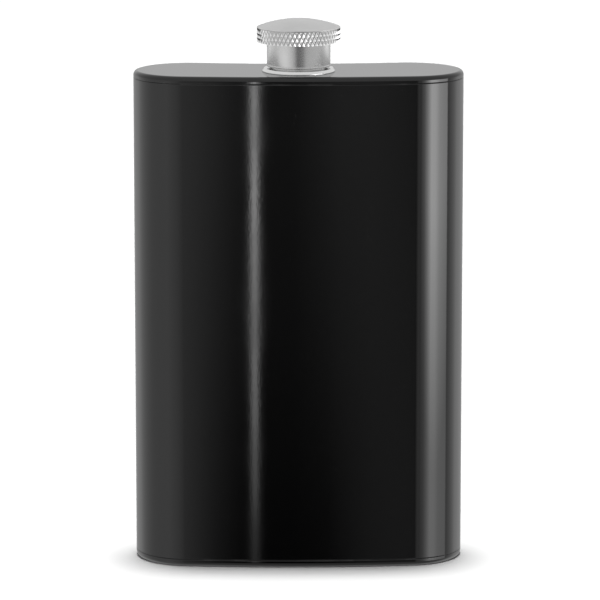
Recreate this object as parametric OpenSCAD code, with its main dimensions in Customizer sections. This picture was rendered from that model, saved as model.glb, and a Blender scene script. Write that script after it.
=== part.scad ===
// Hip flask with a kidney-shaped section and a knurled screw cap.
//
// The flask stands on its base with +Z up. The convex front faces -Y and the hollow back faces +Y.
// The origin is on the standing surface, in the middle of the outline's box.

/* [Body] */
// Width of the body across its round ends
body_w = 92; // [70:1:120]
// Height of the body, from the standing surface to the top of the lid
body_h = 138.5; // [90:0.5:180]
// Radius of the round ends
end_r = 15.5; // [13:0.5:19]
// Radius of the convex front
front_r = 294; // [200:1:400]
// Radius of the hollow back
back_r = 180; // [130:1:300]
// Sheet thickness of the sleeve
sleeve_wall = 0.8; // [0.6:0.1:1.2]

/* [Lid and base] */
// Sheet thickness of the lid and of the base pan
pan_wall = 0.8; // [0.6:0.1:1]
// Outer radius of the rounded edge of the lid and of the base pan
edge_r = 1.3; // [1.1:0.1:1.8]
// Height of the straight edge between the rounded edge and the seam
edge_drop = 0.7; // [0.6:0.1:3]
// Length of the lip that reaches into the sleeve
lip_len = 3; // [1:0.5:8]
// Thickness of the lip
lip_wall = 0.6; // [0.4:0.1:1]
// Gap between the lip and the sleeve
lip_gap = 0.05; // [0.02:0.01:0.2]
// Depth of the fine groove at each seam
groove_depth = 0.15; // [0.1:0.05:0.3]
// Height of the fine groove at each seam
groove_h = 0.2; // [0.1:0.05:0.5]

/* [Neck] */
// Radius of the mouth
mouth_r = 5.4; // [4:0.1:6]
// Wall of the spout under its thread
spout_wall = 0.9; // [0.7:0.1:1.5]
// Height of the spout above the lid
spout_h = 10.3; // [8:0.1:20]
// Height of the smooth root of the spout above the lid
root_h = 2; // [1.4:0.1:2.2]
// Thickness of the flange under the lid
flange_wall = 0.8; // [0.6:0.1:1.5]
// Width of the flange beyond the root
flange_w = 2; // [1:0.1:3]
// Height of the bright collar ring
collar_h = 1; // [0.8:0.1:1.6]
// Height of the upright edge below the collar ring's slope
collar_edge_h = 0.3; // [0.2:0.1:0.6]
// Width of the bright collar ring
collar_w = 2.65; // [2.3:0.05:3]
// Width of the collar ring's flat top, inside its slope
collar_top_w = 2.1; // [1.2:0.1:2.4]
// How far the neck stands forward of the middle of the lid
neck_forward = 1.3; // [0:0.1:2]

/* [Thread] */
// Rise of the thread in one turn
pitch = 2.5; // [2.2:0.1:3]
// Height of a ridge of the thread
ridge_h = 0.85; // [0.6:0.05:1]
// Width of a ridge at its foot
ridge_foot = 1; // [0.8:0.05:1.1]
// Width of a ridge at its crest
ridge_crest = 0.5; // [0.3:0.05:0.6]
// Gap between a crest and the wall it faces
thread_gap = 0.3; // [0.2:0.05:0.4]

/* [Cap] */
// Radius of the knurled head over its points
head_r = 11.65; // [11:0.05:14]
// Height of the knurled head's side
head_h = 4.1; // [3:0.1:8]
// Rise of the domed top above the side
dome_h = 2.2; // [1:0.1:3]
// Wall of the smooth skirt
skirt_wall = 0.65; // [0.5:0.05:1]
// How far the rolled lip at the bottom of the skirt stands out
skirt_lip_w = 0.1; // [0.05:0.05:0.5]
// Height of the rolled lip
skirt_lip_h = 0.4; // [0.3:0.1:0.8]
// Gap between the bottom of the skirt and the collar ring
skirt_gap = 0.5; // [0.3:0.05:1]
// Wall of the threaded insert behind its thread
liner_wall = 0.7; // [0.6:0.05:1]
// Thickness of the insert's ceiling
liner_top = 1.1; // [0.8:0.1:2]
// Thickness of the sealing disc
gasket_t = 1; // [0.8:0.1:1.5]
// Number of diamonds round the knurl
knurl_count = 58; // [44:2:80]
// Rows of diamonds. A half row ends in the middle of its diamonds.
knurl_rows = 1.5; // [1:0.5:4]
// Depth of the knurl
knurl_depth = 0.35; // [0.2:0.05:0.5]

/* [Hidden] */
$fn = 180;

press_gap = 0.02;    // radial gap of a pressed joint
weld_gap = 0.05;     // radial gap that a weld or braze fills
turning_gap = 0.25;  // radial gap round the sealing disc, which the insert turns about
bevel = 0.3;         // small turned bevel at the mouth
knurl_edge = 0.15;   // plain edge below the knurl, and the fine groove above it
dome_rim_h = 0.2;    // upright edge below the dome
dome_rim_in = 0.1;   // how far that edge stands inside the knurl's points
knurl_floor = 0.1;   // how far the head's core lies below the knurl's grooves
knurl_sink = 0.3;    // how deep the knurled band reaches into the core
cut_past = 1;        // how far a cut runs past the surface it opens

// Height of each seam above the base's flat, or below the lid's
seam_h = edge_r + edge_drop;

// The outline is four arcs: a round end on each side, the front and the back, each tangent to the next.
end_x = body_w / 2 - end_r;
front_y = sqrt(pow(front_r - end_r, 2) - pow(end_x, 2));
back_y = sqrt(pow(back_r + end_r, 2) - pow(end_x, 2));
front_half = asin(end_x / (front_r - end_r));
back_half = asin(end_x / (back_r + end_r));
front_reach = front_r - front_y;
back_reach = back_y - back_r;
outline_shift = (front_reach - end_r) / 2;

// The neck, from its axis outwards. Heights are above the lid.
neck_y = outline_shift + (back_reach - front_reach) / 2 - neck_forward;
core_r = mouth_r + spout_wall;
root_r = core_r + ridge_h + thread_gap;
collar_r = root_r + weld_gap + collar_w;

// The cap, from the thread outwards and from the skirt upwards
liner_bore_r = core_r + ridge_h + thread_gap;
liner_r = liner_bore_r + liner_wall;
skirt_bore_r = liner_r + press_gap;
skirt_r = skirt_bore_r + skirt_wall;
skirt_z = collar_h + skirt_gap;
liner_z = root_h + thread_gap;
gasket_z = spout_h;
gasket_r = liner_bore_r - turning_gap;
ceiling_z = gasket_z + gasket_t;
head_floor_z = ceiling_z + liner_top;
knurl_top_z = head_floor_z;
head_z = knurl_top_z - head_h;
knurl_valley_r = head_r - knurl_depth;
head_core_r = knurl_valley_r - knurl_floor;
dome_foot_r = head_r - dome_rim_in;

// The two ridges lie half a pitch apart all the way round. A ridge's height is that of its middle.
spout_ridge_low = root_h + ridge_foot;
spout_ridge_high = spout_h - bevel - ridge_foot / 2;
liner_ridge_low = spout_ridge_low + pitch / 2;
liner_ridge_high = gasket_z - ridge_foot / 2 - thread_gap;
ridge_steps = 36;   // steps in a turn
ridge_lead = 6;     // steps over which a ridge fades in and out
ridge_sink = 0.15;  // how deep a ridge's foot is sunk into its wall

// Moves its children along Y in a coarse and a fine step, so that a far centre keeps all its digits
module shift_y(y) {
    coarse = round(y * 100) / 100;
    translate([0, coarse, 0])
        translate([0, y - coarse, 0])
            children();
}

// The part of the outline's plane between the two round ends. Its sides pass through the points where
// the arcs meet, square to them.
module waist() {
    reach = 2 * end_r;
    front_corner = [end_x + reach * sin(front_half), -reach * cos(front_half)];
    back_corner = [end_x - reach * sin(back_half), reach * cos(back_half)];
    polygon([
        front_corner, [end_x, 0], back_corner,
        [-back_corner.x, back_corner.y], [-end_x, 0], [-front_corner.x, front_corner.y]
    ]);
}

module waist_prism() {
    linear_extrude(height = 3 * body_h, center = true)
        waist();
}

// Sweeps a profile round the whole outline. In the profile x = 0 is the outline and -x is inwards.
module sweep_outline() {
    translate([0, outline_shift, 0]) {
        for (side = [-1, 1])
            difference() {
                translate([side * end_x, 0, 0])
                    rotate_extrude()
                        translate([end_r, 0])
                            children();
                waist_prism();
            }
        intersection() {
            shift_y(front_y)
                rotate_extrude()
                    translate([front_r, 0])
                        children();
            waist_prism();
        }
        intersection() {
            shift_y(back_y)
                rotate_extrude()
                    translate([back_r, 0])
                        mirror([1, 0])
                            children();
            waist_prism();
        }
    }
}

// The outline as a solid plate, drawn in by inset all round
module outline_plate(inset, height) {
    translate([0, outline_shift, 0])
        linear_extrude(height = height) {
            for (side = [-1, 1])
                difference() {
                    translate([side * end_x, 0])
                        circle(end_r - inset);
                    waist();
                }
            difference() {
                intersection() {
                    waist();
                    shift_y(front_y)
                        circle(front_r - inset);
                }
                shift_y(back_y)
                    circle(back_r + inset);
            }
        }
}

// A pan with its flat at z = 0, opening downwards: edge, skirt to the seam and lip inside the sleeve
module pan() {
    lip_outer = sleeve_wall + lip_gap;
    lip_inner = lip_outer + lip_wall;
    translate([0, 0, -pan_wall])
        outline_plate(edge_r, pan_wall);
    sweep_outline() {
        intersection() {
            translate([-edge_r, -edge_r])
                difference() {
                    circle(edge_r);
                    circle(edge_r - pan_wall);
                }
            translate([-edge_r, -edge_r])
                square(edge_r);
        }
        translate([-pan_wall, -seam_h])
            square([pan_wall - groove_depth, seam_h - edge_r]);
        translate([-pan_wall, groove_h - seam_h])
            square([pan_wall, seam_h - edge_r - groove_h]);
        translate([-lip_inner, -seam_h])
            square([lip_inner - pan_wall / 2, lip_wall]);
        translate([-lip_inner, -seam_h - lip_len])
            square([lip_wall, lip_len]);
    }
}

module body_sleeve() {
    color("#101012")
        sweep_outline() {
            translate([-sleeve_wall, seam_h])
                square([sleeve_wall - groove_depth, body_h - 2 * seam_h]);
            translate([-sleeve_wall, seam_h + groove_h])
                square([sleeve_wall, body_h - 2 * (seam_h + groove_h)]);
        }
}

module top_lid() {
    color("#101012")
        translate([0, 0, body_h])
            difference() {
                pan();
                translate([0, neck_y, -pan_wall - cut_past])
                    cylinder(r = root_r + weld_gap, h = pan_wall + 2 * cut_past);
            }
}

module base_pan() {
    color("#101012")
        mirror([0, 0, 1])
            pan();
}

// Moves its children onto the neck's axis, with z = 0 at the top of the lid
module on_neck() {
    translate([0, neck_y, body_h])
        children();
}

// A right-hand helical ridge on a wall of radius wall_r. direction 1 stands outwards and -1 inwards.
module ridge(wall_r, low, high, direction) {
    steps = floor(ridge_steps * (high - low) / pitch);
    foot_r = wall_r - direction * ridge_sink;
    sections = [
        for (i = [0:steps])
            let (
                fade = min(1, i / ridge_lead, (steps - i) / ridge_lead),
                crest_r = foot_r + direction * (ridge_sink / 2 + (ridge_h + ridge_sink / 2) * fade),
                rise = low + pitch * i / ridge_steps,
                turn = 360 * i / ridge_steps
            )
            each [
                for (corner = [
                    [foot_r, -ridge_foot / 2], [crest_r, -ridge_crest / 2],
                    [crest_r, ridge_crest / 2], [foot_r, ridge_foot / 2]
                ])
                    [corner[0] * cos(turn), corner[0] * sin(turn), rise + corner[1]]
            ]
    ];
    last = 4 * steps;
    sides = [
        for (i = [0:steps - 1], k = [0:3])
            let (a = 4 * i + k, b = 4 * i + (k + 1) % 4)
            each [[a, b, b + 4], [a, b + 4, a + 4]]
    ];
    ends = [[3, 2, 1], [3, 1, 0], [last, last + 1, last + 2], [last, last + 2, last + 3]];
    faces = concat(sides, ends);
    polyhedron(sections, direction > 0 ? faces : [for (f = faces) [f[2], f[1], f[0]]]);
}

module neck_collar() {
    inner_r = root_r + weld_gap;
    color("silver")
        on_neck()
            rotate_extrude()
                polygon([
                    [inner_r, 0],
                    [collar_r, 0],
                    [collar_r, collar_edge_h],
                    [inner_r + collar_top_w, collar_h],
                    [inner_r, collar_h]
                ]);
}

module neck_tube() {
    flange_z = -pan_wall - flange_wall;
    color("silver")
        on_neck() {
            difference() {
                union() {
                    translate([0, 0, flange_z])
                        cylinder(r = root_r + flange_w, h = flange_wall);
                    translate([0, 0, flange_z])
                        cylinder(r = root_r, h = root_h - flange_z);
                    cylinder(r = core_r, h = spout_h - bevel);
                    translate([0, 0, spout_h - bevel])
                        cylinder(r1 = core_r, r2 = core_r - bevel, h = bevel);
                    ridge(core_r, spout_ridge_low, spout_ridge_high, 1);
                }
                translate([0, 0, flange_z - cut_past])
                    cylinder(r = mouth_r, h = spout_h - flange_z + 2 * cut_past);
            }
        }
}

// The knurl's outer surface: columns of points that stand out and in by turns, so rows of diamonds form
module knurl_band(z, height) {
    columns = 2 * knurl_count;
    rows = 2 * knurl_rows;
    inner_r = head_core_r - knurl_sink;
    points = [
        for (j = [0:rows + 2], i = [0:columns - 1])
            let (
                outside = j <= rows,
                peak = outside && j > 0 && j < rows && (i + j) % 2 == 1,
                r = outside ? (peak ? head_r : knurl_valley_r) : inner_r,
                level = outside ? j / rows : (j == rows + 1 ? 1 : 0),
                turn = 360 * i / columns
            )
            [r * cos(turn), r * sin(turn), z + height * level]
    ];
    // Ring j joins ring j + 1, up the outside, in over the top, down the inside and out under the bottom.
    faces = [
        for (j = [0:rows + 2], i = [0:columns - 1])
            let (
                next_i = (i + 1) % columns,
                next_j = (j + 1) % (rows + 3),
                a = j * columns + i,
                b = j * columns + next_i,
                c = next_j * columns + next_i,
                d = next_j * columns + i,
                odd = (i + j) % 2 == 1
            )
            each odd ? [[a, d, b], [b, d, c]] : [[a, d, c], [a, c, b]]
    ];
    polyhedron(points, faces);
}

module cap_head() {
    band_z = head_z + knurl_edge;
    rim_z = knurl_top_z - dome_rim_h;
    dome_r = (pow(dome_foot_r, 2) + pow(dome_h, 2)) / (2 * dome_h);
    color("silver")
        on_neck()
            difference() {
                union() {
                    rotate_extrude() {
                        polygon([
                            [0, head_z],
                            [head_core_r - knurl_edge, head_z],
                            [head_core_r, band_z],
                            [head_core_r, rim_z],
                            [dome_foot_r, rim_z],
                            [dome_foot_r, knurl_top_z],
                            [0, knurl_top_z]
                        ]);
                        intersection() {
                            translate([0, knurl_top_z + dome_h - dome_r])
                                circle(dome_r);
                            translate([0, knurl_top_z])
                                square([dome_foot_r, dome_h]);
                        }
                    }
                    knurl_band(band_z, rim_z - knurl_edge - band_z);
                }
                translate([0, 0, head_z - cut_past])
                    cylinder(r = skirt_r + press_gap, h = head_floor_z - head_z + cut_past);
            }
}

module cap_skirt() {
    lip_r = skirt_lip_h / 2;
    color("silver")
        on_neck()
            rotate_extrude() {
                translate([skirt_bore_r, skirt_z])
                    square([skirt_wall, head_floor_z - skirt_z]);
                intersection() {
                    translate([skirt_r + skirt_lip_w - lip_r, skirt_z + lip_r])
                        circle(lip_r);
                    translate([skirt_bore_r, skirt_z])
                        square([skirt_wall + skirt_lip_w, skirt_lip_h]);
                }
            }
}

module cap_liner() {
    color("#d8d8d4")
        on_neck() {
            difference() {
                translate([0, 0, liner_z])
                    cylinder(r = liner_r, h = head_floor_z - liner_z);
                translate([0, 0, liner_z - cut_past])
                    cylinder(r = liner_bore_r, h = ceiling_z - liner_z + cut_past);
            }
            ridge(liner_bore_r, liner_ridge_low, liner_ridge_high, -1);
        }
}

module cap_gasket() {
    color("#e6e2d8")
        on_neck()
            translate([0, 0, gasket_z])
                cylinder(r = gasket_r, h = gasket_t);
}

body_sleeve();
top_lid();
base_pan();
neck_collar();
neck_tube();
cap_head();
cap_skirt();
cap_liner();
cap_gasket();
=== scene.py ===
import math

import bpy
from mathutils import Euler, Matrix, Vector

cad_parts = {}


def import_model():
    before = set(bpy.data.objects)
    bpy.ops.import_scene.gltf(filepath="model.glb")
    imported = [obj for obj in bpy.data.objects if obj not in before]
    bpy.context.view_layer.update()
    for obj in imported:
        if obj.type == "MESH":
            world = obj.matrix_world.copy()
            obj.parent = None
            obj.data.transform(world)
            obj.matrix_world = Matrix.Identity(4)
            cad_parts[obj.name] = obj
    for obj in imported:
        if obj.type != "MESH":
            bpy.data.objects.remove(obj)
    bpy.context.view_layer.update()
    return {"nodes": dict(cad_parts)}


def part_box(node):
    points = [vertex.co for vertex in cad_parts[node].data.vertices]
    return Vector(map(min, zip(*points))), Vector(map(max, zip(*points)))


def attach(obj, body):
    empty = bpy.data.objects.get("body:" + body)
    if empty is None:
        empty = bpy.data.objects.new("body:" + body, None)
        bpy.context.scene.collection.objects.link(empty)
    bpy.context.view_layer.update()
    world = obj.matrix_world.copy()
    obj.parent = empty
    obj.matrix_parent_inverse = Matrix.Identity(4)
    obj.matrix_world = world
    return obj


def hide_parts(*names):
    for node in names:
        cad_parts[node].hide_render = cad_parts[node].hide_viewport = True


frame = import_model()

# A gloss black hip flask with a kidney-shaped section and a satin knurled screw cap.
# Every piece but the gasket, which is the CAD's own, is a swept or turned mesh. Overall sizes and places come
# from the frame's boxes, and the details from the values below.
# A profile is written as (out, up, corner radius), with out measured from the outline or from an axis.

MM = 0.001

# Section of the body: two round ends, a convex front and a hollow back, each tangent to the next
END_R = 15.5 * MM
FRONT_R = 294 * MM
BACK_R = 180 * MM

# Sheet metal
SHEET = 0.8 * MM
EDGE_R = 1.3 * MM
SEAM_ROUND = 0.22 * MM
LIP_GAP = 0.05 * MM
LIP_WALL = 0.6 * MM
LIP_LEN = 3 * MM

# Neck and cap, beyond what the frame's boxes give
MOUTH_R = 5.4 * MM
SPOUT_R = 6.3 * MM
ROOT_R = 7.45 * MM
ROOT_H = 2 * MM
FLANGE_H = 0.8 * MM
COLLAR_EDGE_H = 0.3 * MM
COLLAR_TOP_W = 2.1 * MM
PITCH = 2.5 * MM
RIDGE_H = 0.85 * MM
SPOUT_RIDGE_UP = 3 * MM
LINER_RIDGE_UP = SPOUT_RIDGE_UP + PITCH / 2
SKIRT_WALL = 0.65 * MM
PRESS_GAP = 0.02 * MM
SKIRT_LIP_W = 0.1 * MM
SKIRT_LIP_H = 0.4 * MM
LINER_WALL = 0.7 * MM
LINER_TOP = 1.1 * MM
HEAD_SIDE_H = 4.1 * MM
DOME_RIM_H = 0.2 * MM
DOME_RIM_IN = 0.1 * MM
CREASE_H = 0.12 * MM
KNURL_COUNT = 58
KNURL_ROWS = 1.5
KNURL_DEPTH = 0.35 * MM

# Radius of the last ring where a flat face inside the cap closes across the axis
CENTRE_R = 0.2 * MM

# How finely the meshes are cut
END_STEPS, BACK_STEPS, FRONT_STEPS = 64, 72, 88
THREAD_STEPS = 144
ROWS_PER_PITCH = 36
STEPS_PER_DIAMOND = 12
ROWS_PER_DIAMOND = 20
DOME_STEPS = 40
SHARP_ANGLE = math.radians(28)

# Places and sizes from the frame, and what follows from them
SLEEVE_LO, SLEEVE_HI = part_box("body_sleeve")
LID_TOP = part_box("top_lid")[1].z
COLLAR_LO, COLLAR_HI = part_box("neck_collar")
TUBE_LO, TUBE_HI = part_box("neck_tube")
HEAD_LO, HEAD_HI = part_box("cap_head")
SKIRT_LO, SKIRT_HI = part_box("cap_skirt")
LINER_LO, LINER_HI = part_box("cap_liner")
GASKET_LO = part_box("cap_gasket")[0]
NECK = Vector(((HEAD_LO.x + HEAD_HI.x) / 2, (HEAD_LO.y + HEAD_HI.y) / 2, 0))
END_X = (SLEEVE_HI.x - SLEEVE_LO.x) / 2 - END_R
SEAM_H = SLEEVE_LO.z
GROOVE_R = (HEAD_HI.x - HEAD_LO.x) / 2 - KNURL_DEPTH
KNURL_TOP = HEAD_LO.z + HEAD_SIDE_H - DOME_RIM_H - CREASE_H


# ---------------------------------------------------------------- shapes

def half_width(lo, hi):
    return (hi.x - lo.x) / 2


def circle_stations(count, centre=NECK):
    """Places round a turned piece: (point on the axis, outward direction)."""
    turns = [2 * math.pi * i / count for i in range(count)]
    return [(centre, Vector((math.cos(t), math.sin(t), 0))) for t in turns]


def arc_stations(centre, radius, start, end, count, side=1):
    """Places along an arc of the section. side is -1 on the hollow back, which faces its own centre."""
    stations = []
    for i in range(count):
        turn = start + (end - start) * i / count
        out = Vector((math.cos(turn), math.sin(turn), 0))
        stations.append((centre + radius * out, side * out))
    return stations


def section_stations():
    """Places round the body's outline, anticlockwise from the front of the right end."""
    front_y = math.sqrt((FRONT_R - END_R) ** 2 - END_X ** 2)
    back_y = math.sqrt((BACK_R + END_R) ** 2 - END_X ** 2)
    front_half = math.asin(END_X / (FRONT_R - END_R))
    back_half = math.asin(END_X / (BACK_R + END_R))
    shift = (FRONT_R - front_y - END_R) / 2
    quarter = math.pi / 2
    right = Vector((END_X, shift, 0))
    left = Vector((-END_X, shift, 0))
    behind = Vector((0, back_y + shift, 0))
    far_front = Vector((0, front_y + shift, 0))
    return [
        *arc_stations(right, END_R, front_half - quarter, quarter + back_half, END_STEPS),
        *arc_stations(behind, BACK_R, back_half - quarter, -back_half - quarter, BACK_STEPS, side=-1),
        *arc_stations(left, END_R, quarter - back_half, 3 * quarter - front_half, END_STEPS),
        *arc_stations(far_front, FRONT_R, -front_half - quarter, front_half - quarter, FRONT_STEPS),
    ]


def rounded(corners, closed=True, step=math.radians(12)):
    """A profile with rounded corners, as (out, up, normal out, normal up). The material is on its left."""
    points = [Vector(c[:2]) for c in corners]
    count = len(points)
    profile = []
    for i, (point, radius) in enumerate(zip(points, (c[2] for c in corners))):
        before = (point - points[i - 1]).normalized() if closed or i > 0 else None
        after = (points[(i + 1) % count] - point).normalized() if closed or i < count - 1 else None
        if before is None or after is None:
            along = after or before
            profile.append((point.x, point.y, along.y, -along.x))
            continue
        turn = math.atan2(before.x * after.y - before.y * after.x, before.dot(after))
        side = math.copysign(1, turn)
        start = point - before * radius * math.tan(abs(turn) / 2)
        centre = start + side * radius * Vector((-before.y, before.x))
        steps = max(1, math.ceil(abs(turn) / step))
        for k in range(steps + 1):
            angle = turn * k / steps
            normal = Vector((before.y, -before.x))
            normal.rotate(Matrix.Rotation(angle, 2))
            place = centre + side * radius * normal
            profile.append((place.x, place.y, normal.x, normal.y))
    return profile


def rings_of(stations, profile):
    """One ring of (point, normal) for each point of the profile."""
    return [
        [(base + out * u + Vector((0, 0, z)), out * nu + Vector((0, 0, nz))) for base, out in stations]
        for u, z, nu, nz in profile
    ]


def loft(name, rings, closed=True, exact_normals=True):
    """A mesh through the rings. An open loft is closed by a flat face at each end."""
    width = len(rings[0])
    points = [p for ring in rings for p, _ in ring]
    faces = []
    for j in range(len(rings) if closed else len(rings) - 1):
        low, high = j * width, (j + 1) % len(rings) * width
        for i in range(width):
            k = (i + 1) % width
            faces.append((low + i, low + k, high + k, high + i))
    if not closed:
        faces.append(tuple(reversed(range(width))))
        faces.append(tuple(range(len(points) - width, len(points))))
    mesh = bpy.data.meshes.new(name)
    mesh.from_pydata([tuple(p) for p in points], [], faces)
    mesh.update()
    mesh.shade_smooth()
    if exact_normals:
        normals = [tuple(n.normalized()) for ring in rings for _, n in ring]
        mesh.normals_split_custom_set_from_vertices(normals)
    else:
        mesh.set_sharp_from_angle(angle=SHARP_ANGLE)
    piece = bpy.data.objects.new(name, mesh)
    bpy.context.scene.collection.objects.link(piece)
    return piece


def turned(name, corners, count=192, closed=True):
    """A turned piece on the neck's axis."""
    return loft(name, rings_of(circle_stations(count), rounded(corners, closed)), closed)


def finish_piece(piece, body, node, material):
    """Puts a piece in place of its CAD node, with its body and material."""
    piece.data.materials.append(material)
    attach(piece, body)
    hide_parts(node)
    return piece


# ---------------------------------------------------------------- body

def sleeve():
    low, high = SLEEVE_LO.z, SLEEVE_HI.z
    hidden = 0.1 * MM
    profile = rounded([
        (0, low, SEAM_ROUND), (0, high, SEAM_ROUND),
        (-SHEET, high, hidden), (-SHEET, low, hidden),
    ])
    return loft("flask_sleeve", rings_of(section_stations(), profile))


def pan_profile(flat_z, up):
    """A pressed pan's wall, from its flat to its lip in the sleeve. up is 1 for the lid, -1 for the base."""
    seam = flat_z - up * SEAM_H
    lip_end = seam - up * LIP_LEN
    lip_out = -SHEET - LIP_GAP
    lip_in = lip_out - LIP_WALL
    small = 0.1 * MM
    inner_r = EDGE_R - SHEET
    flat_in = -2 * EDGE_R
    corners = [
        (flat_in, flat_z - up * SHEET, 0), (-SHEET, flat_z - up * SHEET, inner_r),
        (-SHEET, seam + up * LIP_WALL, small), (lip_in, seam + up * LIP_WALL, small),
        (lip_in, lip_end, small), (lip_out, lip_end, small),
        (lip_out, seam, small / 4), (0, seam, SEAM_ROUND),
        (0, flat_z, EDGE_R), (flat_in, flat_z, 0),
    ]
    return rounded(corners if up > 0 else corners[::-1], closed=False)


def lid():
    """The lid's flat is open round the neck, so its rings run on from the outline to a circle."""
    stations = section_stations()
    outline = rings_of(stations, pan_profile(LID_TOP, 1))
    hole = [(NECK, (base - NECK).normalized()) for base, _ in stations]
    rim = ROOT_R + LIP_GAP
    small = 0.1 * MM
    corners = [
        (rim + 4 * small, LID_TOP, 0), (rim, LID_TOP, small),
        (rim, LID_TOP - SHEET, small), (rim + 4 * small, LID_TOP - SHEET, 0),
    ]
    return loft("flask_lid", outline + rings_of(hole, rounded(corners, closed=False)))


def base():
    return loft("flask_base", rings_of(section_stations(), pan_profile(0, -1)), closed=False)


# ---------------------------------------------------------------- neck and cap

def collar():
    low, high = COLLAR_LO.z, COLLAR_HI.z
    outer, inner = half_width(COLLAR_LO, COLLAR_HI), ROOT_R + LIP_GAP
    crisp = 0.08 * MM
    return turned("collar_ring", [
        (inner, low, crisp), (outer, low, crisp), (outer, low + COLLAR_EDGE_H, crisp),
        (inner + COLLAR_TOP_W, high, 2 * crisp), (inner, high, crisp),
    ])


def ridge_height(phase, foot_share=0.4, crest_share=0.2):
    """Height of a thread's ridge, as a share of its full height, over one pitch. phase runs from 0 to 1."""
    away = abs(phase - 0.5)
    slope = (foot_share - crest_share) / 2
    level = min(1, max(0, (foot_share / 2 - away) / slope))
    return level * level * (3 - 2 * level)


def thread_rings(radius, low, high, direction, ridge_up):
    """Rings of a wall with a helical ridge, which fades in and out at its ends.

    direction is 1 for a bolt's thread and -1 for a nut's.
    ridge_up is the height above the lid at which the ridge's middle crosses the +X side.
    """
    fade = PITCH / 3
    nudge = 0.01 * MM

    def wall(turn, z):
        phase = ((z - LID_TOP - ridge_up) / PITCH - turn + 0.5) % 1
        ends = min(1, max(0, (z - low) / fade), max(0, (high - z) / fade))
        return radius + direction * RIDGE_H * ridge_height(phase) * ends

    rows = math.ceil((high - low) / PITCH * ROWS_PER_PITCH)
    rings = []
    for j in range(rows + 1):
        z = low + (high - low) * j / rows
        ring = []
        for i in range(THREAD_STEPS):
            turn = i / THREAD_STEPS
            angle = 2 * math.pi * turn
            out = Vector((math.cos(angle), math.sin(angle), 0))
            along = Vector((-out.y, out.x, 0))
            r = wall(turn, z)
            slope = (wall(turn, z + nudge) - wall(turn, z - nudge)) / (2 * nudge)
            normal = out - Vector((0, 0, slope)) + along * slope * PITCH / (2 * math.pi * r)
            ring.append((NECK + r * out + Vector((0, 0, z)), direction * normal))
        rings.append(ring)
    return rings


def tube():
    """The spout: flange under the lid, smooth root, threaded wall and mouth."""
    stations = circle_stations(THREAD_STEPS)
    flange_r = half_width(TUBE_LO, TUBE_HI)
    low, high = TUBE_LO.z, TUBE_HI.z
    root_top = LID_TOP + ROOT_H
    small = 0.15 * MM
    under = rounded([
        (MOUTH_R, high, 0), (MOUTH_R, low, small), (flange_r, low, small),
        (flange_r, low + FLANGE_H, small), (ROOT_R, low + FLANGE_H, small / 2),
        (ROOT_R, root_top, small), (SPOUT_R, root_top, 0),
    ], closed=False)
    brim = rounded([
        (SPOUT_R, high - 4 * small, 0), (SPOUT_R, high, 2 * small), (MOUTH_R, high, small),
        (MOUTH_R, high - 4 * small, 0),
    ], closed=False)
    thread = thread_rings(SPOUT_R, root_top + small, high - 5 * small, 1, SPOUT_RIDGE_UP)
    return loft("spout_tube", rings_of(stations, under[1:]) + thread + rings_of(stations, brim))


def knurl_height(turn, level):
    """Height of the diamond knurl, from 0 in its grooves to 1 at its points."""
    across = turn * KNURL_COUNT
    down = level * KNURL_ROWS
    return min((1 - math.cos(2 * math.pi * phase)) / 2 for phase in (across + down, across - down))


def knurl_rings(stations):
    """Rings up the knurled side, from the head's underside to the crease below its rim."""
    rows = round(KNURL_ROWS * ROWS_PER_DIAMOND)
    rings = []
    for j in range(rows + 1):
        rise = Vector((0, 0, HEAD_LO.z + (KNURL_TOP - HEAD_LO.z) * j / rows))
        ring = []
        for i, (_, out) in enumerate(stations):
            r = GROOVE_R + KNURL_DEPTH * knurl_height(i / len(stations), j / rows)
            ring.append((NECK + out * r + rise, out))
        rings.append(ring)
    return rings


def dome_profile(rim_r, low, height):
    """The domed top, from near its rim to near its middle."""
    dome_r = (rim_r ** 2 + height ** 2) / (2 * height)
    profile = []
    for k in range(1, DOME_STEPS):
        r = rim_r * (1 - k / DOME_STEPS)
        profile.append((r, low + height - dome_r + math.sqrt(dome_r ** 2 - r ** 2), 0, 1))
    return profile


def head():
    """The knurled head: hollow underneath, a diamond knurl round its side and a dome on top."""
    stations = circle_stations(KNURL_COUNT * STEPS_PER_DIAMOND)
    low = HEAD_LO.z
    side_top = low + HEAD_SIDE_H
    rim_low = side_top - DOME_RIM_H
    rim_r = half_width(HEAD_LO, HEAD_HI) - DOME_RIM_IN
    bore = half_width(SKIRT_LO, SKIRT_HI) - SKIRT_LIP_W + PRESS_GAP
    roof = SKIRT_HI.z
    small = 0.08 * MM
    inside = rounded([
        (CENTRE_R, roof, 0), (bore, roof, small), (bore, low, small), (GROOVE_R - small, low, 0),
    ], closed=False)
    rim = rounded([
        (GROOVE_R, KNURL_TOP, 0), (GROOVE_R, rim_low, small / 2),
        (rim_r, rim_low, small), (rim_r, side_top, 0),
    ], closed=False)
    above = rim + dome_profile(rim_r, side_top, HEAD_HI.z - side_top)
    rings = rings_of(stations, inside) + knurl_rings(stations) + rings_of(stations, above)
    return loft("cap_knurled_head", rings, closed=False, exact_normals=False)


def skirt():
    low, high = SKIRT_LO.z, SKIRT_HI.z
    lip_out = half_width(SKIRT_LO, SKIRT_HI)
    outer = lip_out - SKIRT_LIP_W
    inner = outer - SKIRT_WALL
    small = 0.1 * MM
    lip_r = SKIRT_LIP_H / 2
    return turned("cap_smooth_skirt", [
        (inner, low, small), (lip_out, low, lip_r * 0.95),
        (lip_out, low + SKIRT_LIP_H, lip_r * 0.8), (outer, low + SKIRT_LIP_H + small, 2 * small),
        (outer, high, small), (inner, high, small),
    ])


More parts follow.
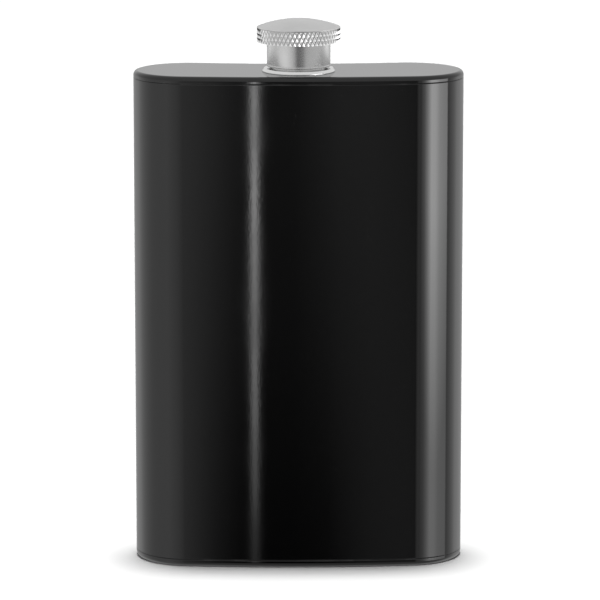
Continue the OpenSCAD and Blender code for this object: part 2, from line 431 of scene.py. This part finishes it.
def liner():
    """The moulded insert: a cup, open downwards, with the cap's thread inside."""
    stations = circle_stations(THREAD_STEPS)
    outer = half_width(LINER_LO, LINER_HI)
    bore = outer - LINER_WALL
    low, high = LINER_LO.z, LINER_HI.z
    ceiling = high - LINER_TOP
    small = 0.15 * MM
    outside = rounded([
        (bore, low + 2 * small, 0), (bore, low, small), (outer, low, small),
        (outer, high, small), (CENTRE_R, high, 0),
    ], closed=False)
    roof = rounded([
        (CENTRE_R, ceiling, 0), (bore, ceiling, small), (bore, ceiling - 2 * small, 0),
    ], closed=False)
    thread = thread_rings(bore, low + 3 * small, GASKET_LO.z - 2 * small, -1, LINER_RIDGE_UP)
    rings = rings_of(stations, roof) + thread[::-1] + rings_of(stations, outside)
    return loft("cap_threaded_insert", rings, closed=False)


# ---------------------------------------------------------------- materials

def grey(level, tint=(1, 1, 1)):
    return (level * tint[0], level * tint[1], level * tint[2], 1)


class Nodes:
    """A node tree with short calls for adding and joining nodes."""

    def __init__(self, tree):
        self.tree = tree

    def add(self, kind, inputs=None, **settings):
        node = self.tree.nodes.new(kind)
        for key, value in settings.items():
            setattr(node, key, value)
        for key, value in (inputs or {}).items():
            self.put(node.inputs[key], value)
        return node

    def put(self, socket, value):
        if isinstance(value, bpy.types.NodeSocket):
            self.tree.links.new(value, socket)
        else:
            socket.default_value = value

    def math(self, operation, a, b=0.0, clamp=False):
        node = self.add("ShaderNodeMath", {0: a, 1: b}, operation=operation, use_clamp=clamp)
        return node.outputs[0]

    def remap(self, value, low, high, out_low=0.0, out_high=1.0):
        node = self.add("ShaderNodeMapRange", {
            "Value": value, "From Min": low, "From Max": high, "To Min": out_low, "To Max": out_high,
        })
        return node.outputs["Result"]

    def blend(self, share, a, b):
        node = self.add("ShaderNodeMix", data_type="RGBA")
        colours = [s for s in node.inputs if s.type == "RGBA"]
        self.put(node.inputs[0], share)
        self.put(colours[0], a)
        self.put(colours[1], b)
        return next(s for s in node.outputs if s.type == "RGBA")

    def ramp(self, value, stops):
        """A grey level for each value from 0 to 1, from (value, level) stops."""
        node = self.add("ShaderNodeValToRGB", {"Fac": value})
        elements = node.color_ramp.elements
        elements.remove(elements[-1])
        for k, (where, level) in enumerate(stops):
            stop = elements[0] if k == 0 else elements.new(where)
            stop.position = where
            stop.color = grey(level)
        return node.outputs["Color"]

    def compass_ramp(self, angle, stops, top=1.0):
        """A level for each compass angle from -180 to 180, as a share of top, from (angle, level) stops."""
        shares = [((where + 180) / 360, level / top) for where, level in stops]
        return self.ramp(self.remap(angle, -180, 180), shares)


class Shader(Nodes):
    """A material's nodes, with patterns placed by the object's own coordinates."""

    def __init__(self, name):
        self.material = bpy.data.materials.new(name)
        self.material.use_nodes = True
        super().__init__(self.material.node_tree)
        self.surface = self.tree.nodes["Principled BSDF"]
        self.place = self.add("ShaderNodeTexCoord").outputs["Object"]

    def set(self, **values):
        """Sets the Principled shader's sockets, with _ for a space in a socket's name."""
        for key, value in values.items():
            self.put(self.surface.inputs[key.replace("_", " ")], value)

    def height(self):
        return self.add("ShaderNodeSeparateXYZ", {"Vector": self.place}).outputs["Z"]

    def vector(self, operation, *values, result="Vector"):
        inputs = dict(enumerate(values))
        return self.add("ShaderNodeVectorMath", inputs, operation=operation).outputs[result]

    def neck_radius(self):
        """Distance from the neck's axis."""
        from_axis = self.vector("SUBTRACT", self.place, NECK)
        level = self.vector("MULTIPLY", from_axis, (1, 1, 0))
        return self.vector("LENGTH", level, result="Value")

    def noise(self, scale, stretch=(1, 1, 1), detail=3.0, roughness=0.5):
        """A noise from 0 to 1, at scale cells a metre, drawn out by stretch."""
        squeezed = self.add("ShaderNodeMapping", {"Vector": self.place, "Scale": stretch})
        node = self.add("ShaderNodeTexNoise", {
            "Vector": squeezed.outputs["Vector"], "Scale": scale, "Detail": detail, "Roughness": roughness,
        })
        return node.outputs["Fac"]

    def bump(self, height, strength, distance, below=None):
        inputs = {"Height": height, "Strength": strength, "Distance": distance}
        if below is not None:
            inputs["Normal"] = below
        return self.add("ShaderNodeBump", inputs).outputs["Normal"]


def enamel(name, edges):
    """Gloss black baked enamel: faint orange peel, handling marks, and rubbed edges at the given heights."""
    s = Shader(name)
    peel = s.noise(900, detail=2)
    grain = s.noise(2600, stretch=(1, 1, 0.3), detail=2)
    handling = s.noise(28, detail=5, roughness=0.6)
    specks = s.remap(s.noise(1500, detail=1), 0.76, 0.80)
    height = s.height()
    edge_width = 0.35 * MM
    rubbed = 0.0
    for edge in edges:
        away = s.math("ABSOLUTE", s.math("SUBTRACT", height, edge))
        rubbed = s.math("ADD", rubbed, s.remap(away, edge_width, 0), clamp=True)
    rubbed = s.math("MULTIPLY", rubbed, s.remap(s.noise(160, detail=4), 0.5, 0.62))
    marks = s.math("MAXIMUM", s.math("MULTIPLY", specks, 0.6), rubbed)
    body = s.blend(handling, grey(0.0008), grey(0.0016, (1, 1, 1.05)))
    s.set(
        Base_Color=s.blend(marks, body, grey(0.02)),
        Roughness=s.math("ADD", s.remap(handling, 0.35, 0.7, 0.035, 0.075), s.math("MULTIPLY", marks, 0.2)),
        IOR=1.5,
        Normal=s.bump(peel, 0.06, 0.03 * MM, s.bump(grain, 0.10, 0.01 * MM)),
    )
    return s.material


def cut_over(s, band, roughness, tone, satin, handling):
    """Tone and roughness of satin metal with a band that was cut after blasting: brighter and smoother.

    band gives its lower and upper height, and the radius at the bottom of its grooves, which are darkened
    with painted shade.
    """
    low, high, groove_r = band
    groove_shade_h = 0.12 * MM
    height = s.height()
    cut = s.math("MULTIPLY", s.math("GREATER_THAN", height, low), s.math("LESS_THAN", height, high))
    # Painted shade: the cut band is darkened towards the bottom of the knurl's grooves, as if shade fell
    # there.
    groove_shade = s.remap(s.neck_radius(), groove_r, groove_r + groove_shade_h, 0.6, 0)
    tone = s.blend(cut, tone, s.blend(handling, grey(0.78), grey(0.92)))
    tone = s.blend(s.math("MULTIPLY", cut, groove_shade), tone, grey(0.12))
    return tone, s.math("SUBTRACT", satin, s.math("MULTIPLY", cut, roughness * 0.55))


def satin_metal(name, level, roughness, lathe=0.5, blast=0.5, cut_band=None):
    """Satin aluminium: blasted grain and fine turning lines round the axis, with faint handling marks."""
    s = Shader(name)
    blasted = s.noise(5200, detail=3, roughness=0.65)
    lines = s.noise(90, stretch=(1, 1, 130), detail=3)
    handling = s.noise(120, detail=4)
    tone = s.blend(blasted, grey(level * 0.93), grey(level * 1.05, (1, 1, 0.995)))
    tone = s.blend(s.remap(handling, 0.45, 0.75, 0, 0.35), tone, grey(level * 0.85))
    satin = s.remap(s.math("ADD", handling, blasted), 0.6, 1.4, roughness - 0.05, roughness + 0.06)
    if cut_band:
        tone, satin = cut_over(s, cut_band, roughness, tone, satin, handling)
    s.set(
        Base_Color=tone,
        Metallic=1.0,
        Roughness=satin,
        Normal=s.bump(blasted, blast, 0.02 * MM, s.bump(lines, lathe, 0.01 * MM)),
    )
    return s.material


def bright_metal(name, level, roughness):
    """Bright turned metal with fine tool lines and a few rubbed patches."""
    s = Shader(name)
    lines = s.noise(110, stretch=(1, 1, 90), detail=3)
    rubbed = s.noise(260, detail=4)
    s.set(
        Base_Color=s.blend(rubbed, grey(level * 0.92), grey(level, (1, 1, 0.99))),
        Metallic=1.0,
        Roughness=s.remap(rubbed, 0.35, 0.7, roughness - 0.03, roughness + 0.06),
        Normal=s.bump(lines, 0.25, 0.01 * MM),
    )
    return s.material


def moulded(name, level, tint, roughness, grain_scale):
    """Moulded plastic or silicone: a fine skin, slight clouding and soft gloss changes."""
    s = Shader(name)
    skin = s.noise(grain_scale, detail=3)
    cloud = s.noise(150, detail=3)
    s.set(
        Base_Color=s.blend(cloud, grey(level * 0.92, tint), grey(level, tint)),
        Roughness=s.remap(cloud, 0.3, 0.7, roughness - 0.06, roughness + 0.08),
        IOR=1.45,
        Normal=s.bump(skin, 0.25, 0.02 * MM),
    )
    return s.material


# ---------------------------------------------------------------- the object

def build_flask():
    low_seam, high_seam = SLEEVE_LO.z, SLEEVE_HI.z
    sleeve_enamel = enamel("sleeve_enamel", (low_seam, high_seam))
    flask_sleeve = finish_piece(sleeve(), "flask", "body_sleeve", sleeve_enamel)
    flask_lid = finish_piece(lid(), "flask", "top_lid", enamel("lid_enamel", [high_seam]))
    flask_base = finish_piece(base(), "flask", "base_pan", enamel("base_enamel", [low_seam]))
    collar_metal = bright_metal("bright_collar", 0.82, 0.16)
    finish_piece(collar(), "flask", "neck_collar", collar_metal)
    finish_piece(tube(), "flask", "neck_tube", bright_metal("turned_steel", 0.62, 0.24))
    return [flask_sleeve, flask_lid, flask_base]


def build_cap():
    knurl_band = (HEAD_LO.z, KNURL_TOP, GROOVE_R)
    head_metal = satin_metal("satin_head", 0.64, 0.34, lathe=0.15, cut_band=knurl_band)
    cap_head = finish_piece(head(), "cap", "cap_head", head_metal)
    skirt_metal = satin_metal("satin_skirt", 0.6, 0.26, lathe=0.12, blast=0.1)
    finish_piece(skirt(), "cap", "cap_skirt", skirt_metal)
    liner_plastic = moulded("moulded_insert", 0.80, (1, 1, 0.97), 0.42, 1800)
    finish_piece(liner(), "cap", "cap_liner", liner_plastic)
    gasket = frame["nodes"]["cap_gasket"]
    gasket.data.materials.clear()
    gasket.data.materials.append(moulded("soft_silicone", 0.82, (1, 0.975, 0.92), 0.55, 3200))
    return cap_head


# ---------------------------------------------------------------- studio

FLOOR_HALF = 8
WORLD_LEVEL = 0.8
SCREEN_R = 2.5
SCREEN_LOW, SCREEN_HIGH = -2.5, 0.4
SCREEN_SIDES = 120
# Brightness of the reflected surroundings by compass angle: 0 is in front, positive to the right
SCREEN_TONES = (
    (-180, 0.4), (-150, 0.7), (-128, 1.15), (-98, 1.0), (-84, 0.94), (-47, 1.03), (-26, 0.77), (-14, 0.54),
    (-10, 0.34), (-7.5, 0.2), (-3, 0.12), (0, 0.12), (3, 0.2), (6, 0.28), (10, 0.28), (14, 0.22),
    (17, 0.16), (19.5, 0.4), (22, 0.62), (60, 0.68), (92, 0.75), (120, 1.4), (150, 0.7), (180, 0.4),
)
TOP_TONE = 1.5
# What is left of the tones at and below the height FALL_LOW, by compass angle: only the middle falls off
SCREEN_FALL = ((-180, 1), (-15, 1), (-10, 0.45), (-5, 0.1), (4, 0.1), (9, 0.5), (15, 0.9), (180, 1))
FALL_LOW, FALL_HIGH = -0.60, -0.23
# The reflection of the pale table, in surfaces that face downwards
TABLE_FROM, TABLE_TO, TABLE_TONE = -0.8, -1.3, 0.5

# Levels across the two graded lights, from 0 at one edge to 1 at the other
SIDE_STOPS = (
    (0, 0.02), (0.13, 0.15), (0.235, 0.44), (0.373, 1), (0.51, 0.93), (0.653, 0.62), (0.82, 0.48),
    (0.95, 0.4), (1, 0.3),
)
STRIP_STOPS = (
    (0, 0), (0.195, 0.02), (0.27, 0.105), (0.3475, 0.37), (0.424, 0.78), (0.5, 1),
    (0.576, 0.78), (0.6525, 0.37), (0.73, 0.105), (0.805, 0.02), (1, 0),
)

# A plain camera without shift. It can't follow the photo's straightened upright edges, so its outline matches
# only because the CAD's body is about 6 mm taller than the photo's better reading.
CAMERA_LENS = 260.6
CAMERA_PITCH = math.radians(10.72)
CAMERA_YAW = math.radians(0.63)
CAMERA_DISTANCE = 1.2205
CAMERA_AIM = Vector((0.0004, 0, 0.0733))


def floor():
    """The white table. Gloss surfaces don't see it, so the body keeps its dark front."""
    corners = [(x * FLOOR_HALF, y * FLOOR_HALF, 0) for x, y in ((-1, -1), (1, -1), (1, 1), (-1, 1))]
    mesh = bpy.data.meshes.new("studio_floor")
    mesh.from_pydata(corners, [], [(0, 1, 2, 3)])
    s = Shader("white_table")
    s.set(Base_Color=grey(0.3), Roughness=0.9, Specular_IOR_Level=0.0)
    mesh.materials.append(s.material)
    table = bpy.data.objects.new("studio_floor", mesh)
    bpy.context.scene.collection.objects.link(table)
    table.visible_glossy = False
    return table


def world():
    """Soft white surroundings."""
    sky = bpy.data.worlds.new("studio")
    bpy.context.scene.world = sky
    sky.use_nodes = True
    sky.node_tree.nodes["Background"].inputs["Color"].default_value = (1, 1, 1, 1)
    sky.node_tree.nodes["Background"].inputs["Strength"].default_value = WORLD_LEVEL


def screen():
    """A tall ring of studio cards, closed below and seen only in reflections: dark in front, grey beside."""
    points = []
    faces = []
    for i in range(SCREEN_SIDES):
        turn = 2 * math.pi * i / SCREEN_SIDES
        x, y = SCREEN_R * math.cos(turn), SCREEN_R * math.sin(turn)
        points += [(x, y, SCREEN_LOW), (x, y, SCREEN_HIGH)]
        here = 2 * i
        beside = 2 * ((i + 1) % SCREEN_SIDES)
        faces.append((here, here + 1, beside + 1, beside))
    faces.append([2 * i for i in range(SCREEN_SIDES)])
    mesh = bpy.data.meshes.new("studio_cards")
    mesh.from_pydata(points, [], faces)
    mesh.materials.append(card_light())
    cards = bpy.data.objects.new("studio_cards", mesh)
    bpy.context.scene.collection.objects.link(cards)
    cards.visible_camera = False
    cards.visible_diffuse = False
    cards.visible_transmission = False
    cards.visible_shadow = False


def card_light():
    """The cards' glow: the tones by compass angle, falling off downwards in the middle, then the table."""
    s = Shader("card_light")
    axes = s.add("ShaderNodeSeparateXYZ", {"Vector": s.place})
    turn = s.math("ARCTAN2", axes.outputs["X"], s.math("MULTIPLY", axes.outputs["Y"], -1.0))
    angle = s.math("MULTIPLY", turn, 180 / math.pi)
    tones = s.math("MULTIPLY", s.compass_ramp(angle, SCREEN_TONES, TOP_TONE), TOP_TONE)
    share = s.remap(axes.outputs["Z"], FALL_LOW, FALL_HIGH)
    fallen = s.compass_ramp(angle, SCREEN_FALL)
    kept = s.math("ADD", fallen, s.math("MULTIPLY", share, s.math("SUBTRACT", 1.0, fallen)))
    table_glow = s.remap(axes.outputs["Z"], TABLE_FROM, TABLE_TO, 0, TABLE_TONE)
    level = s.math("MAXIMUM", s.math("MULTIPLY", tones, kept), table_glow)
    glow = s.add("ShaderNodeEmission", {"Color": (1, 1, 1, 1), "Strength": level})
    s.put(s.tree.nodes["Material Output"].inputs["Surface"], glow.outputs["Emission"])
    return s.material


def linked_only(light, objects):
    """The light shines on these objects and on nothing else."""
    group = bpy.data.collections.new(light.name + "_on")
    for o in objects:
        group.objects.link(o)
    light.light_linking.receiver_collection = group


def area_light(name, place, aim, width, height, power):
    lamp = bpy.data.lights.new(name, "AREA")
    lamp.shape = "RECTANGLE"
    lamp.size = width
    lamp.size_y = height
    lamp.energy = power
    holder = bpy.data.objects.new(name, lamp)
    bpy.context.scene.collection.objects.link(holder)
    holder.location = place
    holder.rotation_euler = (Vector(aim) - Vector(place)).to_track_quat("-Z", "Y").to_euler()
    holder.visible_camera = False
    return holder


def around(turn, distance, z):
    """A place at a compass angle from the front, as SCREEN_TONES counts it."""
    a = math.radians(turn)
    return (distance * math.sin(a), -distance * math.cos(a), z)


def graded(light, stops, low, high, least):
    """Grades an area light: stops across its width, and down to least at low, as shares of its height."""
    light.data.use_nodes = True
    nodes = Nodes(light.data.node_tree)
    place = nodes.add("ShaderNodeNewGeometry").outputs["Parametric"]
    axes = nodes.add("ShaderNodeSeparateXYZ", {"Vector": place})
    glow = nodes.tree.nodes["Emission"]
    nodes.put(glow.inputs["Color"], nodes.ramp(axes.outputs["X"], stops))
    nodes.put(glow.inputs["Strength"], nodes.remap(axes.outputs["Y"], low, high, least, 1.0))


def overhead_sun(table):
    """Soft light from just behind overhead, for the floor alone: it gives the short shadow in front."""
    lamp = bpy.data.lights.new("overhead", "SUN")
    lamp.energy = 9
    lamp.angle = math.radians(9)
    holder = bpy.data.objects.new("overhead", lamp)
    bpy.context.scene.collection.objects.link(holder)
    holder.rotation_euler = (-math.radians(2.5), 0, 0)
    linked_only(holder, [table])


def side_softbox(painted):
    """The broad soft light at the right, which gives the band of light on the body."""
    place = around(58, distance=1.6, z=-0.15)
    light = area_light("side_softbox", place, (0, 0, place[2]), width=1.9, height=1.0, power=39)
    graded(light, SIDE_STOPS, low=0.32, high=0.49, least=0.37)
    linked_only(light, painted)


def strip_light(painted):
    """The narrow light behind the camera, which gives the thin bright line. It stands inside the cards."""
    place = around(-5.05, distance=2.4, z=-0.35)
    light = area_light("strip_light", place, (0, 0, place[2]), width=0.12, height=0.9, power=2.1)
    graded(light, STRIP_STOPS, low=0.24, high=0.54, least=0.1)
    linked_only(light, painted)


def cap_glint(cap_head):
    """A lamp high at the right, for the knurl's points."""
    place = around(80, distance=1.6, z=0.6)
    light = area_light("cap_glint", place, (0, 0, 0.14), width=1.2, height=1.2, power=9)
    linked_only(light, [cap_head])


def camera():
    data = bpy.data.cameras.new("camera")
    data.lens = CAMERA_LENS
    data.clip_start = 0.05
    holder = bpy.data.objects.new("camera", data)
    bpy.context.scene.collection.objects.link(holder)
    turn = Euler((math.pi / 2 - CAMERA_PITCH, 0, -CAMERA_YAW))
    holder.rotation_euler = turn
    holder.location = CAMERA_AIM - turn.to_matrix() @ Vector((0, 0, -1)) * CAMERA_DISTANCE
    bpy.context.scene.camera = holder


painted_pieces = build_flask()
cap_head_piece = build_cap()
world()
screen()
overhead_sun(floor())
side_softbox(painted_pieces)
strip_light(painted_pieces)
cap_glint(cap_head_piece)
camera()
bpy.context.scene.view_settings.view_transform = "Standard"
